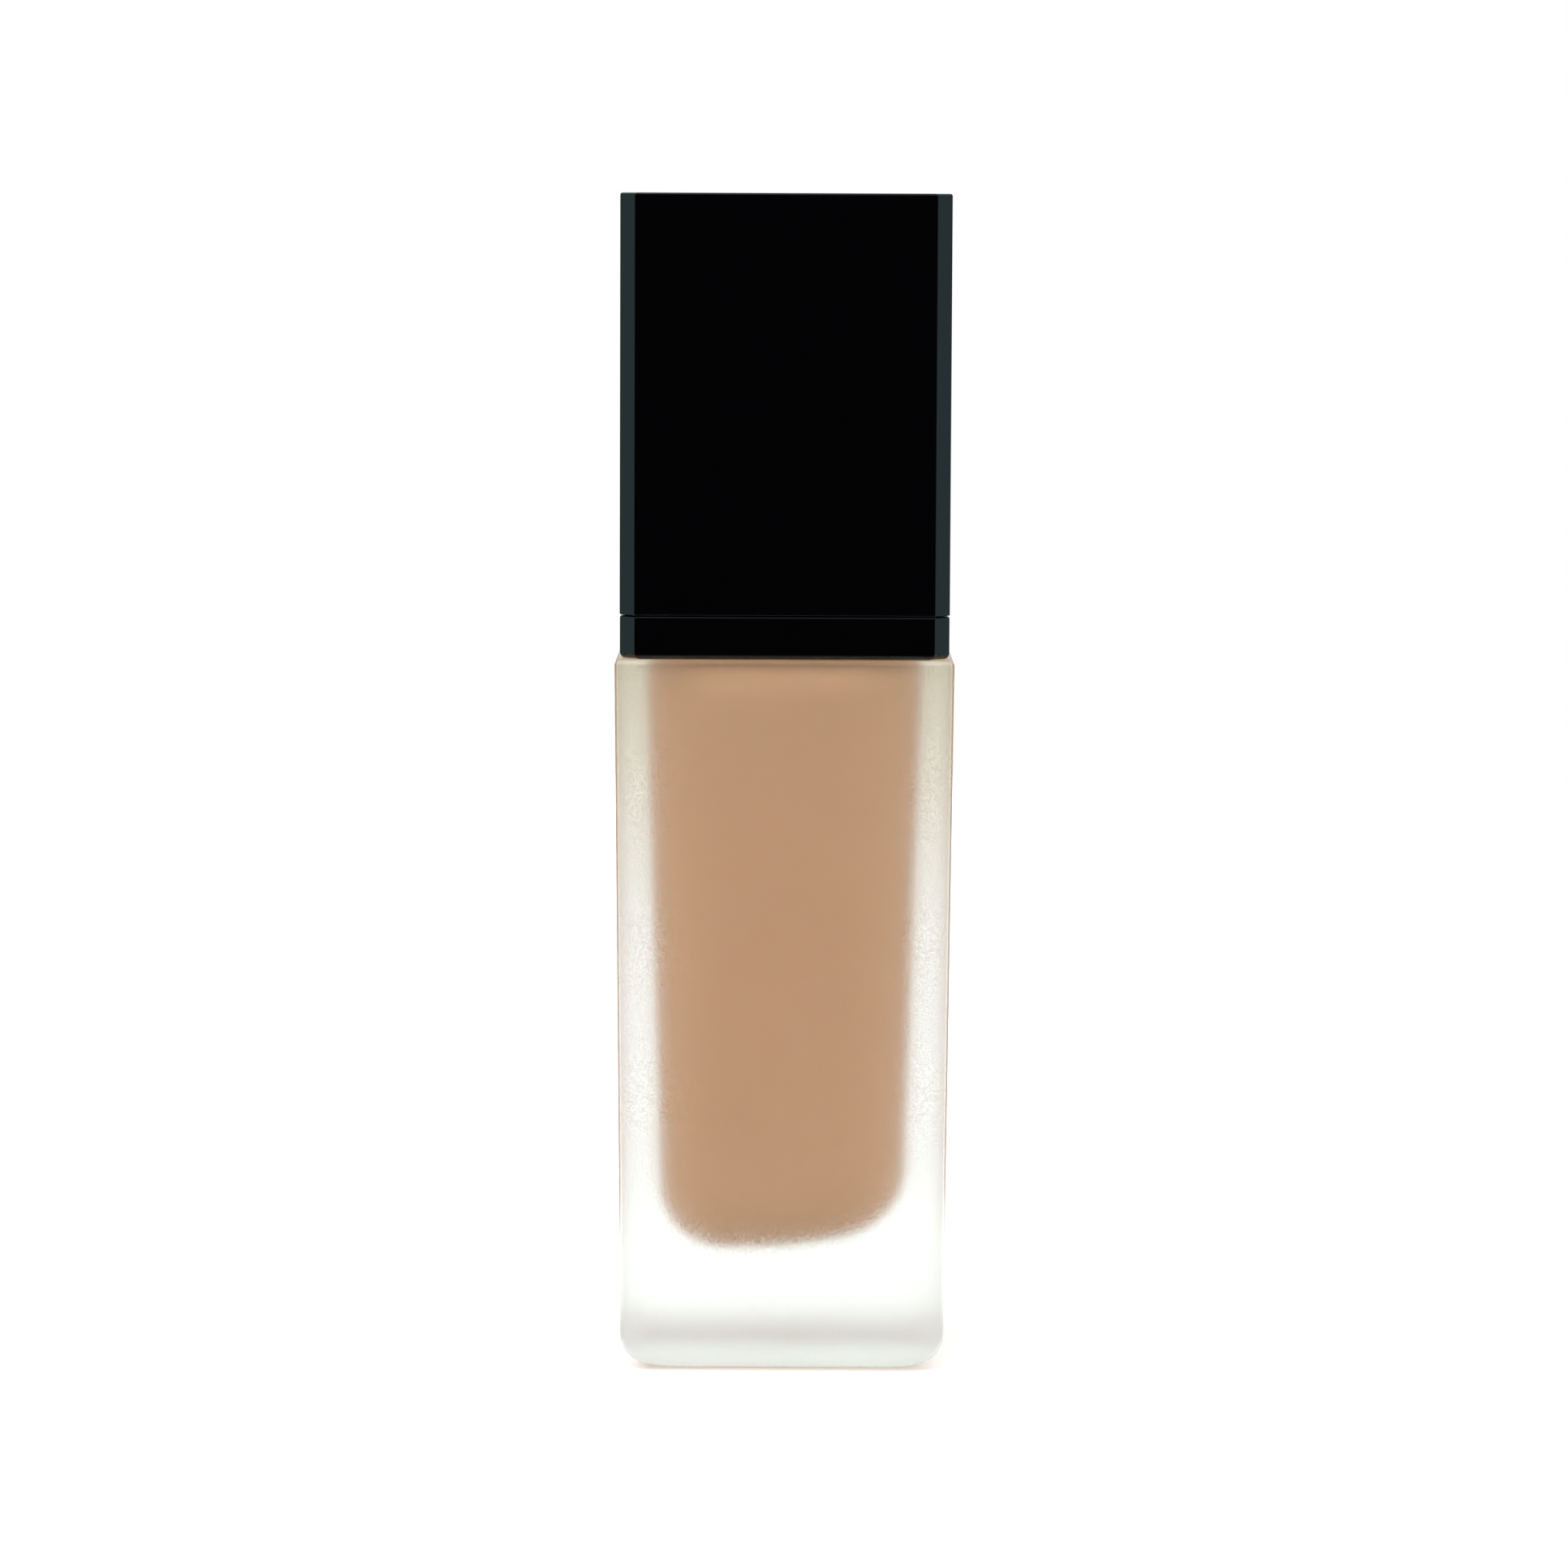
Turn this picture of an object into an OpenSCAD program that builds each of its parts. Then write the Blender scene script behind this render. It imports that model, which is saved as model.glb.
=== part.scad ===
// Square liquid foundation bottle: heavy frosted glass, a dip tube pump and a square overcap.
// Millimetres. The origin is the middle of the resting face, +Z is up and the front is -Y.

/* [Glass bottle] */
// Width of the glass at its shoulder
shoulder_w = 33.7; // [33:0.1:34.5]
// Width of the glass just above its rounded foot
foot_w = 32.3; // [31.8:0.1:32.8]
// Height of the shoulder above the resting face
shoulder_z = 71.8; // [70:0.1:76]
// Rounding of the edge round the shoulder
shoulder_round = 0.9; // [0.4:0.1:1]
// Rounding of the four upright edges at the foot
corner_round = 0.6; // [0.5:0.1:2]
// Rounding between the sides and the resting face
heel_round = 4; // [3:0.1:4.4]
// Thickness of the glass under the cavity
base_t = 11.7; // [10:0.1:14]
// Thickness of the glass in the shoulder
shoulder_t = 1.6; // [1.2:0.1:2.2]
// Width of the cavity under the shoulder
cavity_top_w = 27.9; // [27.4:0.1:28.4]
// Width of the cavity above its rounded floor
cavity_foot_w = 24.4; // [23.6:0.1:25.2]

/* [Collar and overcap] */
// Height of the closed bottle
total_h = 117.9; // [117:0.1:126]
// Width of the overcap across its flats
cap_w = 32.8; // [32.6:0.1:33.8]
// Width of the collar across its flats
collar_w = 32.75; // [32.3:0.05:33.4]
// Height of the collar's square flange
collar_h = 4.3; // [3.8:0.1:5]
// Chamfer on the four upright edges of the collar and overcap
edge_chamfer = 1.5; // [1:0.1:2]
// Wall thickness of the overcap
cap_wall = 1.5; // [1.2:0.1:1.6]

/* [Pump] */
// How far the button travels when it is pressed
stroke = 4; // [3:0.1:4]
// Radius of the finger button
button_r = 8.4; // [8:0.1:8.4]
// Height of the finger button
button_h = 15.2; // [14:0.1:16]
// How far the spout reaches from the middle
spout_reach = 10.9; // [10.4:0.1:11]
// Wire diameter of the return spring
wire_d = 0.55; // [0.4:0.05:0.6]
// Turns of the return spring
spring_turns = 6; // [5:0.5:7]

/* [Hidden] */
$fn = 96;

// Clearances: a pressed-in fit, a sliding fit, and parts that only have to miss each other
fit = 0.05;
slide = 0.1;
free = 0.3;

// Glass: from the middle to the centre of each corner's rounding, outside and in the cavity
glass_corner = foot_w / 2 - corner_round;
shoulder_edge = min(shoulder_round, shoulder_w / 2 - glass_corner - 0.1);
cavity_corner = 5.4;
cavity_round = 1;
dome_r = 9.5;
dome_depth = 0.5;

// Neck and its snap bead
neck_r = 8.9;
neck_bore_r = 6.6;
neck_h = 13.2;
lip_z = shoulder_z + neck_h;
bead_r = 9.7;
bead_t = 0.7;
bead_slope = 1;
bead_z = lip_z - 4;
gasket_t = 0.5;

// Pump housing, from its flange down to the socket of the dip tube
flange_r = 8.6;
flange_z = lip_z + gasket_t;
flange_t = 1;
housing_top_z = flange_z + flange_t;
barrel_r = 5.3;
barrel_bore_r = 4.3;
barrel_floor_t = 1.2;
barrel_h = 25.9;
barrel_z = housing_top_z - barrel_h;
chamber_r = 3.2;
chamber_bore_r = 2.1;
chamber_h = 5.5;
chamber_z = barrel_z - chamber_h;
seat_hole_r = 1.1;
seat_t = 1.1;
seat_z = chamber_z + seat_t;
socket_r = 2.9;
socket_h = 7.5;
socket_z = chamber_z - socket_h;
tube_r = 1.7;
tube_bore_r = 1.15;
tube_inset = 0.4;
tube_clear = 1.4;
tube_end_z = base_t + tube_clear;
tube_cut = 35;

// Inlet valve: a ball that rests in a 45 degree cone
ball_r = 1.6;
ball_lift = 1;
seat_depth = chamber_bore_r - seat_hole_r;
ball_z = seat_z - seat_hole_r + ball_r * sqrt(2) + fit;
cage_z = barrel_z + barrel_floor_t;
cage_t = 1.2;
cage_pin_r = 0.7;
cage_spigot_r = 2.1;
cage_spigot_h = 1.4;
cage_hole_r = 0.45;
cage_hole_at = 1.4;

// Closure and guide on top of the housing
closure_r = 10.9;
closure_bore_r = bead_r + 0.15;
closure_top_t = 1.1;
closure_top_z = housing_top_z + closure_top_t;
hook_drop = 1.4;
hook_t = 1.2;
hook_gap = 0.15;
guide_flange_r = 6.5;
guide_flange_t = 0.8;
guide_boss_r = 4;
guide_boss_h = 1.7;
guide_bore_r = 2.5;
guide_plug_h = 2.5;
guide_low_z = housing_top_z - guide_plug_h;
guide_top_z = housing_top_z + guide_boss_h;

// Stem, rod and piston, with the button up
stem_r = guide_bore_r - slide;
stem_top_r = 2;
stem_bore_r = 1.1;
stop_r = 3.3;
stop_t = 1.7;
stop_z = guide_low_z - fit - stop_t;
stem_step_z = guide_top_z + stroke;
press = 0.03;
rod_r = 1.65;
rod_bore_r = 0.9;
rod_socket_h = 4.8;
rod_top_z = stop_z + rod_socket_h;
rod_below = 7;
rod_flange_t = 1.4;
rod_flange_z = stop_z - rod_below;
rod_web_t = 0.4;
port_r = 0.5;
port_up = 0.9;
piston_slip = 0.8;
piston_z = rod_flange_z + rod_flange_t + fit;
piston_top_z = stop_z - piston_slip - fit;
piston_hub_r = 2.9;
piston_lip_t = 0.5;
piston_web_t = 1;
piston_web_z = piston_z + 2.2;
piston_relief = 0.55;

// Button
button_gap = 0.4;
button_z = closure_top_z + stroke + button_gap;
button_top_z = button_z + button_h;
button_wall = 0.9;
button_bevel = 0.5;
dish_r = 6.6;
dish_depth = 0.6;
cover_top_t = 1.4;
core_r = button_r - button_wall - fit;
core_top_z = button_top_z - cover_top_t;
core_plate_t = 1.4;
core_ribs = 6;
core_rib_t = 0.8;
boss_r = 3.6;
boss_z = stem_step_z + 0.8;
boss_socket_h = 7.5;
stem_end_z = boss_z + boss_socket_h;
spout_drop = 5.3;
spout_z = button_top_z - spout_drop;
spout_r = 2.6;
outlet_r = 1;
insert_r = 1.75;
insert_depth = 2.4;
insert_lip_r = 2.2;
insert_lip_t = 0.4;
insert_hole_r = 0.7;

// Collar: a square flange over a plateau of the glass, and a round sleeve over the closure
sleeve_bore_r = closure_r + fit;
sleeve_r = 11.9;
sleeve_overlap = 1;
sleeve_top_z = button_z + sleeve_overlap;
well_r = button_r + free;
well_lip_t = 0.8;
collar_wall = 1.2;
collar_inner = collar_w / 2 - collar_wall;
pocket_chamfer = edge_chamfer / 2;
collar_rib_t = 1;
collar_top_z = shoulder_z + collar_h;
rim_bevel = 0.35;
plateau_half = collar_inner - slide;
plateau_z = shoulder_z + 1.5;
cavity_top_z = plateau_z - shoulder_t;

// Overcap, and the square cup in it that grips the collar's sleeve along four lines
seam = 0.1;
cap_z = collar_top_z + seam;
cap_top_t = 1.7;
cap_inner = cap_w / 2 - cap_wall;
inner_chamfer = max(0.4, edge_chamfer - cap_wall * (2 - sqrt(2)));
liner_half = sleeve_r + slide;
liner_wall = 0.9;
liner_chamfer = 1;
liner_flange_t = 1.2;
liner_z = cap_z + 0.4;
liner_top_z = total_h - cap_top_t;
liner_plate_t = 1.2;

// A quarter of a disc, right of and above its centre
module quarter(r) {
    intersection() {
        circle(r);
        square(r + 1);
    }
}

// Side profile of a tapered block, outwards from the centre of its corner's rounding
module side_profile(low, high, bottom, top, edge) {
    translate([0, bottom + low]) mirror([0, 1]) quarter(low);
    translate([high - edge, top - edge]) quarter(edge);
    polygon([
        [0, bottom + low],
        [low, bottom + low],
        [high, top - edge],
        [high - edge, top - edge],
        [high - edge, top],
        [0, top]
    ]);
}

// A rounded square that widens upwards: its profile goes round four corners and four sides
module tapered_block(corner, low_w, high_w, bottom, top, edge) {
    low = low_w / 2 - corner;
    high = high_w / 2 - corner;
    for (turn = [0:90:270]) rotate(turn) translate([corner, corner, 0]) {
        rotate_extrude(angle = 90) side_profile(low, high, bottom, top, edge);
        rotate([90, 0, 0])
            linear_extrude(2 * corner) side_profile(low, high, bottom, top, edge);
    }
    translate([-corner, -corner, bottom]) cube([2 * corner, 2 * corner, top - bottom]);
}

// The cavity's shape, smaller by a gap all round
module cavity(gap) {
    tapered_block(cavity_corner, cavity_foot_w - 2 * gap, cavity_top_w - 2 * gap,
        base_t + gap, cavity_top_z - gap, cavity_round);
}

// A square across its flats with its corners cut at 45 degrees
module chamfered_square(half, chamfer) {
    low = half - chamfer;
    polygon([
        [half, -low], [half, low], [low, half], [-low, half],
        [-half, low], [-half, -low], [-low, -half], [low, -half]
    ]);
}

// An upright bar of that outline, from bottom to top
module chamfered_bar(half, chamfer, bottom, top) {
    translate([0, 0, bottom]) linear_extrude(top - bottom) chamfered_square(half, chamfer);
}

// Cutters that bevel the eight edges round one end of such a bar
module end_bevel(half, chamfer, height, bevel) {
    for (turn = [0:45:315]) rotate(turn) {
        flat = turn % 90 == 0 ? half : (2 * half - chamfer) / sqrt(2);
        translate([flat, 0, height]) rotate([0, 45, 0])
            cube([bevel * sqrt(2), 4 * half, bevel * sqrt(2)], center = true);
    }
}

// A round ring or tube about the Z axis
module ring(outer, inner, bottom, top) {
    difference() {
        translate([0, 0, bottom]) cylinder(r = outer, h = top - bottom);
        translate([0, 0, bottom - 1]) cylinder(r = inner, h = top - bottom + 2);
    }
}

// A disc about the Z axis
module disc(r, bottom, top) {
    translate([0, 0, bottom]) cylinder(r = r, h = top - bottom);
}

// A round bar that runs from y_near towards the front, to y_far
module front_bar(r, y_near, y_far, height) {
    translate([0, -y_near, height]) rotate([90, 0, 0]) cylinder(r = r, h = y_far - y_near);
}

// A shallow dome, cut upwards from a flat face
module dome(r, depth) {
    ball = (r * r + depth * depth) / (2 * depth);
    translate([0, 0, depth - ball]) sphere(ball);
}

// Cutters that round the four edges between a block's sides and its flat underside
module heel_cutters(half, radius) {
    for (turn = [0:90:270]) rotate(turn) translate([half - radius, 2 * half, 0])
        rotate([90, 0, 0]) linear_extrude(4 * half) difference() {
            translate([0, -1]) square([radius + 1, radius + 1]);
            translate([0, radius]) circle(radius);
        }
}

module bottle() {
    heel_half = foot_w / 2 + (shoulder_w - foot_w) / 2 * heel_round / shoulder_z;
    color("whitesmoke", 0.6) difference() {
        union() {
            tapered_block(glass_corner, foot_w, shoulder_w, 0, shoulder_z, shoulder_edge);
            chamfered_bar(plateau_half, pocket_chamfer, shoulder_z - 1, plateau_z);
            rotate_extrude() polygon([
                [0, cavity_top_z], [neck_r, cavity_top_z], [neck_r, bead_z], [bead_r, bead_z],
                [bead_r, bead_z + bead_t], [neck_r, bead_z + bead_t + bead_slope],
                [neck_r, lip_z], [0, lip_z]
            ]);
        }
        cavity(0);
        disc(neck_bore_r, cavity_top_z - 1, lip_z + 1);
        dome(dome_r, dome_depth);
        heel_cutters(heel_half, heel_round);
    }
}

module foundation_fill() {
    color("burlywood") difference() {
        cavity(fit);
        disc(barrel_r + fit, barrel_z - fit, shoulder_z);
        disc(chamber_r + fit, socket_z - fit, barrel_z);
        disc(tube_r + fit, tube_end_z - fit, barrel_z);
    }
}

module neck_gasket() {
    color("white") ring(neck_r - slide, neck_bore_r + slide, lip_z, flange_z);
}

module snap_closure() {
    hook_z = bead_z - hook_drop;
    slots = 6;
    slot_w = 1.2;
    color("gainsboro") difference() {
        union() {
            ring(closure_r, closure_bore_r, plateau_z + free, housing_top_z);
            ring(closure_r, neck_r + hook_gap, hook_z, hook_z + hook_t);
            ring(closure_r, guide_flange_r + fit, housing_top_z, closure_top_z);
        }
        for (turn = [0:360 / slots:359]) rotate(turn)
            translate([0, -slot_w / 2, plateau_z])
                cube([closure_r + 1, slot_w, bead_z + 1 - plateau_z]);
    }
}

module collar() {
    half = collar_w / 2;
    inner_z = plateau_z + fit;
    pocket_top = collar_top_z - collar_wall;
    color("black") difference() {
        union() {
            chamfered_bar(half, edge_chamfer, shoulder_z, collar_top_z);
            disc(sleeve_r, inner_z, sleeve_top_z);
        }
        end_bevel(half, edge_chamfer, collar_top_z, rim_bevel);
        end_bevel(half, edge_chamfer, shoulder_z, rim_bevel);
        disc(sleeve_bore_r, shoulder_z - 1, sleeve_top_z - well_lip_t);
        disc(well_r, shoulder_z, sleeve_top_z + 1);
        difference() {
            chamfered_bar(collar_inner, pocket_chamfer, shoulder_z - 1, pocket_top);
            disc(sleeve_r, inner_z, pocket_top + 1);
            for (turn = [0:45:135]) rotate(turn)
                translate([-2 * half, -collar_rib_t / 2, inner_z])
                    cube([4 * half, collar_rib_t, collar_h]);
        }
    }
}

module pump_housing() {
    color("white") difference() {
        union() {
            disc(flange_r, flange_z, housing_top_z);
            disc(barrel_r, barrel_z, flange_z);
            disc(chamber_r, chamber_z, barrel_z);
            disc(socket_r, socket_z, chamber_z);
        }
        disc(barrel_bore_r, barrel_z + barrel_floor_t, housing_top_z + 1);
        disc(chamber_bore_r, seat_z + seat_depth, barrel_z + barrel_floor_t);
        translate([0, 0, seat_z]) cylinder(r1 = seat_hole_r, r2 = chamber_bore_r, h = seat_depth);
        disc(seat_hole_r, chamber_z - 1, seat_z);
        disc(tube_r + fit, socket_z - 1, chamber_z - tube_inset);
    }
}

module stem_guide() {
    color("white") difference() {
        union() {
            disc(barrel_bore_r - fit, guide_low_z, housing_top_z);
            disc(guide_flange_r, housing_top_z, housing_top_z + guide_flange_t);
            disc(guide_boss_r, housing_top_z, guide_top_z);
        }
        disc(guide_bore_r, guide_low_z - 1, guide_top_z + 1);
    }
}

module inlet_ball() {
    color("silver") translate([0, 0, ball_z]) sphere(ball_r);
}

module ball_cage() {
    stop_low_z = ball_z + ball_lift + ball_r + fit;
    color("white") difference() {
        union() {
            disc(barrel_bore_r - fit, cage_z, cage_z + cage_t);
            disc(cage_pin_r, stop_low_z, cage_z + cage_t);
            disc(cage_spigot_r, cage_z, cage_z + cage_t + cage_spigot_h);
        }
        for (turn = [45:90:315]) rotate(turn) translate([cage_hole_at, 0, cage_z - 1])
            cylinder(r = cage_hole_r, h = cage_t + cage_spigot_h + 2);
    }
}

// Height along the spring: its end turns lie flat and the turns between share the rest
function coil_z(turn, low, high) =
    turn < 1 ? low + turn * wire_d :
    turn > spring_turns - 1 ? high - (spring_turns - turn) * wire_d :
    low + wire_d + (turn - 1) * (high - low - 2 * wire_d) / (spring_turns - 2);

module return_spring() {
    sides = 8;
    per_turn = 18;
    coil_r = 2.75;
    low = cage_z + cage_t + wire_d / 2 + 0.02;
    high = rod_flange_z - wire_d / 2 - 0.02;
    rings = spring_turns * per_turn;
    points = [
        for (i = [0:rings]) for (k = [0:sides - 1])
            let (turn = i / per_turn, a = 360 * turn, b = 360 * k / sides,
                r = coil_r + wire_d / 2 * cos(b))
            [r * cos(a), r * sin(a), coil_z(turn, low, high) + wire_d / 2 * sin(b)]
    ];
    walls = [
        for (i = [0:rings - 1]) for (k = [0:sides - 1])
            let (a = i * sides + k, b = i * sides + (k + 1) % sides)
            [a, a + sides, b + sides, b]
    ];
    start = [for (k = [0:sides - 1]) k];
    end = [for (k = [sides - 1:-1:0]) rings * sides + k];
    color("silver") polyhedron(points, concat(walls, [start, end]));
}

module piston() {
    lip_r = barrel_bore_r - fit;
    lip_inner_r = lip_r - piston_lip_t;
    color("ghostwhite") {
        difference() {
            disc(piston_hub_r, piston_z, piston_top_z);
            disc(rod_r + fit, piston_z - 1, piston_top_z + 1);
            disc(rod_r + fit + piston_relief, piston_z - 1, piston_web_z - 0.4);
        }
        ring(lip_r, lip_inner_r, piston_z - 0.4, piston_top_z + 0.5);
        ring(lip_inner_r, piston_hub_r, piston_web_z, piston_web_z + piston_web_t);
    }
}

module piston_rod() {
    color("white") difference() {
        union() {
            disc(cage_spigot_r, rod_flange_z - cage_spigot_h, rod_flange_z);
            disc(stop_r, rod_flange_z, rod_flange_z + rod_flange_t);
            disc(rod_r, rod_flange_z + rod_flange_t, rod_top_z);
        }
        disc(rod_bore_r, rod_flange_z + rod_flange_t + rod_web_t, rod_top_z + 1);
        for (turn = [0, 90]) rotate(turn)
            translate([-stop_r, 0, rod_flange_z + rod_flange_t + port_up])
                rotate([0, 90, 0]) cylinder(r = port_r, h = 2 * stop_r);
    }
}

module upper_stem() {
    color("white") difference() {
        union() {
            disc(stop_r, stop_z, guide_low_z - fit);
            disc(stem_r, guide_low_z - fit, stem_step_z);
            disc(stem_top_r, stem_step_z, stem_end_z - fit);
        }
        disc(rod_r + press, stop_z - 1, rod_top_z + fit);
        disc(stem_bore_r, rod_top_z, stem_end_z + 1);
    }
}

module dip_tube() {
    color("white") difference() {
        ring(tube_r, tube_bore_r, tube_end_z, chamber_z - tube_inset - slide);
        translate([0, 0, tube_end_z]) rotate([0, tube_cut, 0])
            translate([-4 * tube_r, -4 * tube_r, -8 * tube_r]) cube(8 * tube_r);
    }
}

module actuator_core() {
    rib_z = boss_z + 2;
    color("dimgray") difference() {
        union() {
            disc(boss_r, boss_z, core_top_z);
            disc(core_r, core_top_z - core_plate_t, core_top_z);
            for (turn = [0:360 / core_ribs:359]) rotate(turn + 180 / core_ribs)
                translate([0, -core_rib_t / 2, rib_z])
                    cube([core_r - fit, core_rib_t, core_top_z - core_plate_t / 2 - rib_z]);
            front_bar(spout_r, 0, spout_reach, spout_z);
        }
        disc(stem_top_r + press, boss_z - 1, stem_end_z);
        disc(outlet_r, stem_end_z - 1, spout_z);
        front_bar(outlet_r, -outlet_r / 2, spout_reach, spout_z);
        front_bar(insert_r + fit, spout_reach - insert_depth, spout_reach + 1, spout_z);
    }
}

module actuator_cover() {
    color("black") difference() {
        disc(button_r, button_z, button_top_z);
        disc(button_r - button_wall, button_z - 1, core_top_z);
        front_bar(spout_r + fit, button_r / 2, 2 * button_r, spout_z);
        translate([0, 0, button_top_z]) mirror([0, 0, 1]) dome(dish_r, dish_depth);
        rotate_extrude() translate([button_r, button_top_z]) circle(r = button_bevel, $fn = 4);
    }
}

module nozzle_insert() {
    color("silver") difference() {
        union() {
            front_bar(insert_r, spout_reach - insert_depth, spout_reach, spout_z);
            front_bar(insert_lip_r, spout_reach, spout_reach + insert_lip_t, spout_z);
        }
        front_bar(insert_hole_r, spout_reach - insert_depth - 1, spout_reach + 1, spout_z);
    }
}

module overcap_shell() {
    half = cap_w / 2;
    color("black") difference() {
        chamfered_bar(half, edge_chamfer, cap_z, total_h);
        chamfered_bar(cap_inner, inner_chamfer, cap_z - 1, liner_top_z);
        end_bevel(half, edge_chamfer, total_h, rim_bevel);
        end_bevel(half, edge_chamfer, cap_z, rim_bevel / 2);
    }
}

module cap_liner() {
    outside = liner_half + liner_wall;
    color("dimgray") difference() {
        union() {
            chamfered_bar(cap_inner, inner_chamfer, liner_z, liner_z + liner_flange_t);
            chamfered_bar(outside, liner_chamfer + liner_wall / 2, liner_z, liner_top_z);
        }
        chamfered_bar(liner_half, liner_chamfer, liner_z - 1, liner_top_z - liner_plate_t);
    }
}

bottle();
foundation_fill();
neck_gasket();
snap_closure();
collar();
pump_housing();
stem_guide();
inlet_ball();
ball_cage();
return_spring();
piston();
piston_rod();
upper_stem();
dip_tube();
actuator_core();
actuator_cover();
nozzle_insert();
overcap_shell();
cap_liner();
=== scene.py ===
import math

import bpy
import numpy as np
from mathutils import Matrix, Vector


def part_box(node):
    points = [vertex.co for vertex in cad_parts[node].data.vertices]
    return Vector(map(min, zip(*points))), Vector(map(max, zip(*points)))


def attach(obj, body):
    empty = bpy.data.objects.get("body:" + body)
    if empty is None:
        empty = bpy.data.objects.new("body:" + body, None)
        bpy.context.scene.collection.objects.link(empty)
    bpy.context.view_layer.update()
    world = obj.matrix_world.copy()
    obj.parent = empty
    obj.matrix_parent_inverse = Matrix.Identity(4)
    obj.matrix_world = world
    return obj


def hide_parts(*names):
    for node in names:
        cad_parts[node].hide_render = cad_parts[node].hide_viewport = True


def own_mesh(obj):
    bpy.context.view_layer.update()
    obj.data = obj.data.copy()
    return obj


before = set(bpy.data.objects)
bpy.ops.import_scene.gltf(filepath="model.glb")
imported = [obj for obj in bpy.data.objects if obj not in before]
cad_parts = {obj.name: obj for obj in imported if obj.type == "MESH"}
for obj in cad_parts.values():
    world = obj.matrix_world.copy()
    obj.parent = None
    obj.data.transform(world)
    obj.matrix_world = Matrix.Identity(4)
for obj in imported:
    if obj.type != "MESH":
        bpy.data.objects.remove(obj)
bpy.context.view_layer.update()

bl_info = {
    "name": "Foundation Bottle",
    "version": (1, 0, 0),
    "blender": (4, 5, 0),
    "location": "3D View > Sidebar > Bottle",
    "description": "Builds a square frosted glass foundation bottle around its packed frame",
    "category": "Object",
}

MM = 0.001


# ---------------------------------------------------------------------------------------------
# Places and sizes, in millimetres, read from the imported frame
# ---------------------------------------------------------------------------------------------

def low(node, axis=2):
    """Lowest coordinate of a node's box along an axis, in millimetres."""
    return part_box(node)[0][axis] / MM


def high(node, axis=2):
    """Highest coordinate of a node's box along an axis, in millimetres."""
    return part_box(node)[1][axis] / MM


# Clearances between the pieces: pressed fits and sliding fits
FIT = 0.05
SLIDE = 0.1

SHOULDER = low("collar")
PLATEAU = SHOULDER + 1.5
COLLAR_HALF = high("collar", 0)
COLLAR_WALL = 1.2
COLLAR_TOP = low("overcap_shell") - SLIDE
SLEEVE_TOP = high("collar")
CAVITY_FLOOR = low("foundation_fill") - FIT
CAVITY_TOP = high("foundation_fill") + FIT
LIP = high("bottle")
CLOSURE_HALF = high("snap_closure", 0)
CAP_FOOT = low("overcap_shell")
CAP_TOP = high("overcap_shell")
LINER_FOOT = low("cap_liner")
LINER_TOP = high("cap_liner")
BUTTON_FOOT = low("actuator_cover")
BUTTON_TOP = high("actuator_cover")
CORE_FOOT = low("actuator_core")
CORE_TOP = high("actuator_core")
STEM_TOP = high("upper_stem")
SPOUT_END = -low("actuator_core", 1)
SPOUT_AXIS = (low("nozzle_insert") + high("nozzle_insert")) / 2
BARREL_FOOT = high("inlet_ball") + 1.6
SOCKET_FOOT = low("pump_housing") - FIT
TUBE_END = low("dip_tube") - FIT

# Pieces in each arc of the glass's profile, and the rows of the cavity's two arcs and its pole
GLASS_STEPS = 8
CAVITY_ROWS = 2 * (GLASS_STEPS + 1) + 1


def linear(code):
    """An sRGB hex colour as linear RGB: c / 12.92 in the toe, else ((c + 0.055) / 1.055) ^ 2.4."""
    c = np.array([int(code[i:i + 2], 16) for i in (0, 2, 4)]) / 255
    return tuple(np.where(c <= 0.04045, c / 12.92, ((c + 0.055) / 1.055) ** 2.4).tolist())


# ---------------------------------------------------------------------------------------------
# Settings that a user would change
# ---------------------------------------------------------------------------------------------

def length(name, description, default):
    """A length setting in metres, given here in millimetres."""
    return bpy.props.FloatProperty(
        name=name, description=description, default=default * MM, min=0, unit="LENGTH", precision=5)


def colour(name, description, code):
    """A colour setting, given here as an sRGB hex value."""
    return bpy.props.FloatVectorProperty(
        name=name, description=description, default=linear(code), size=3, min=0, max=1,
        subtype="COLOR")


class BottleGlass(bpy.types.PropertyGroup):
    """Sizes and colours of the glass and its liquid."""
    foot_width: length("Foot width", "Width of the glass above its rounded foot", 32.3)
    foot_round: length("Foot rounding", "Rounding between the sides and the resting face", 4)
    shoulder_round: length("Shoulder rounding", "Rounding of the edge round the shoulder", 0.5)
    corner: length("Corner rounding", "Rounding of the upright edges", 0.35)
    cavity_top: length("Cavity width above", "Width of the cavity under the shoulder", 27.9)
    cavity_foot: length("Cavity width below", "Width of the cavity above its floor", 24.4)
    cavity_corner: length("Cavity corner", "From the axis to the centre of each inner corner", 5.4)
    cavity_round: length("Cavity rounding", "Rounding between the cavity's walls and floor", 6.5)
    settle: length("Uneven floor", "How far the cavity floor climbs towards its right wall", 2.1)
    wetting: length("Wetting", "How far the liquid's skin reaches into the glass", 0.06)
    glass: colour("Glass", "Tint of the glass", "fafefb")
    # Painted shade: this colour darkens the upright edges towards the top under the cap, the
    # shoulder under the collar and the foot
    edge: colour("Glass edge", "Tint of the upright edges, shoulder and foot", "dddcc4")
    liquid: colour("Liquid", "Main colour of the foundation", "bf9575")
    liquid_shade: colour("Liquid shade", "Darker drift in the foundation", "ba9170")
    # Painted light: the liquid is mixed toward this paler colour close under the shoulder, which
    # lifts the shade under the collar
    painted_light_band: colour("Liquid film", "Paler tone of the foundation close under the shoulder", "cea481")


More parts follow.
